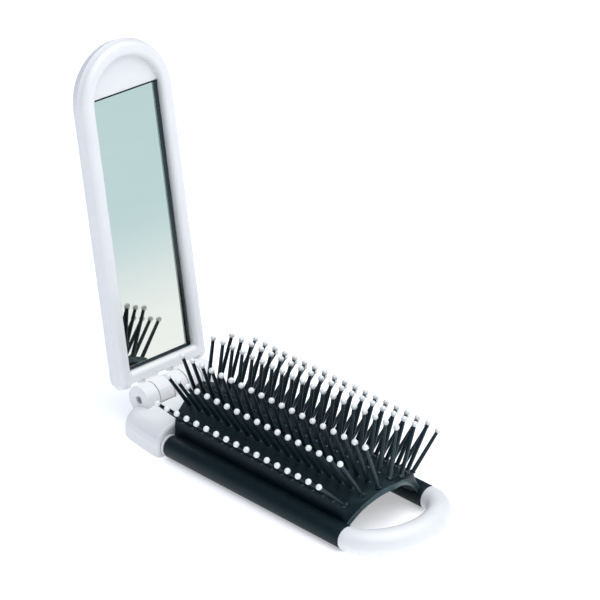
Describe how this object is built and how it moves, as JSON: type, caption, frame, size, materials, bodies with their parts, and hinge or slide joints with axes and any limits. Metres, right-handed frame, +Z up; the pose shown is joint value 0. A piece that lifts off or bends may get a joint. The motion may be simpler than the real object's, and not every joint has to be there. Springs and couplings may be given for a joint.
{
  "type": "folding hairbrush",
  "caption": "Folding pocket hairbrush: ball-tipped pins on a snap-through arched pad, carried on a looped frame, with a hinged lid that holds a mirror",
  "frame": {"origin": "on the flat underside of the hinge block, straight below the axis of the hinge pin", "axes": "+X runs from the hinge to the bow, +Y across the brush, +Z up away from the underside"},
  "size_m": [0.1217, 0.0446, 0.1055],
  "materials": {
    "white_abs": "satin cool white moulded ABS",
    "black_nylon": "black soft moulded nylon with white ball tips",
    "mirror": "silvered flat glass with a pale teal cast",
    "tape": "double-sided mounting tape",
    "steel": "plain steel wire pin"
  },
  "bodies": {
    "base": {"hinge_block": "white_abs", "frame_bow": "white_abs", "pad_membrane": "black_nylon", "hinge_pin": "steel"},
    "lid": {"lid_shell": "white_abs", "mirror_glass": "mirror", "mirror_tape": "tape"},
    "sleeve_left": {"pad_sleeve_left": "black_nylon"},
    "sleeve_right": {"pad_sleeve_right": "black_nylon"},
    "row_1": {"pin_row_1": "black_nylon"},
    "row_2": {"pin_row_2": "black_nylon"},
    "row_3": {"pin_row_3": "black_nylon"},
    "row_4": {"pin_row_4": "black_nylon"},
    "row_5": {"pin_row_5": "black_nylon"},
    "row_6": {"pin_row_6": "black_nylon"},
    "row_7": {"pin_row_7": "black_nylon"}
  },
  "joints": [
    {"name": "lid_fold_shut", "type": "hinge", "parent": "base", "child": "lid", "pos_m": [0, 0, 0.0096], "axis": [0, 1, 0], "range_deg": [0, 99.02], "deforming": ["pad_membrane"]},
    {"name": "sleeve_left_turn", "type": "hinge", "parent": "base", "child": "sleeve_left", "pos_m": [0.0164, -0.01503, 0.00317], "axis": [1, 0, 0], "range_deg": [-80, 0]},
    {"name": "sleeve_right_turn", "type": "hinge", "parent": "base", "child": "sleeve_right", "pos_m": [0.0164, 0.01503, 0.00317], "axis": [1, 0, 0], "range_deg": [0, 80]},
    {"name": "pin_row_1_press", "type": "hinge", "parent": "base", "child": "row_1", "pos_m": [0.04915, -0.02201, 0.00376], "axis": [1, 0, 0], "range_deg": [-66.4, 0]},
    {"name": "pin_row_2_press", "type": "hinge", "parent": "base", "child": "row_2", "pos_m": [0.04915, -0.0284, 0.00448], "axis": [1, 0, 0], "range_deg": [-45.6, 0]},
    {"name": "pin_row_3_press", "type": "hinge", "parent": "base", "child": "row_3", "pos_m": [0.04915, -0.05012, 0.00553], "axis": [1, 0, 0], "range_deg": [-24.2, 0]},
    {"name": "pin_row_4_press", "type": "slide", "parent": "base", "child": "row_4", "axis": [0, -0.0507, -0.9987], "range_m": [0, 0.02173]},
    {"name": "pin_row_5_press", "type": "hinge", "parent": "base", "child": "row_5", "pos_m": [0.04915, 0.05012, 0.00553], "axis": [1, 0, 0], "range_deg": [0, 24.2]},
    {"name": "pin_row_6_press", "type": "hinge", "parent": "base", "child": "row_6", "pos_m": [0.04915, 0.0284, 0.00448], "axis": [1, 0, 0], "range_deg": [0, 45.6]},
    {"name": "pin_row_7_press", "type": "hinge", "parent": "base", "child": "row_7", "pos_m": [0.04915, 0.02201, 0.00376], "axis": [1, 0, 0], "range_deg": [0, 66.4]}
  ],
  "couplings": [
    {"joint": "sleeve_left_turn", "follows": "lid_fold_shut", "ratio": -0.80792},
    {"joint": "sleeve_right_turn", "follows": "lid_fold_shut", "ratio": 0.80792},
    {"joint": "pin_row_1_press", "follows": "lid_fold_shut", "ratio": -0.67057},
    {"joint": "pin_row_2_press", "follows": "lid_fold_shut", "ratio": -0.46051},
    {"joint": "pin_row_3_press", "follows": "lid_fold_shut", "ratio": -0.2444},
    {"joint": "pin_row_4_press", "follows": "lid_fold_shut", "m_per_rad": 0.012572},
    {"joint": "pin_row_5_press", "follows": "lid_fold_shut", "ratio": 0.2444},
    {"joint": "pin_row_6_press", "follows": "lid_fold_shut", "ratio": 0.46051},
    {"joint": "pin_row_7_press", "follows": "lid_fold_shut", "ratio": 0.67057}
  ]
}
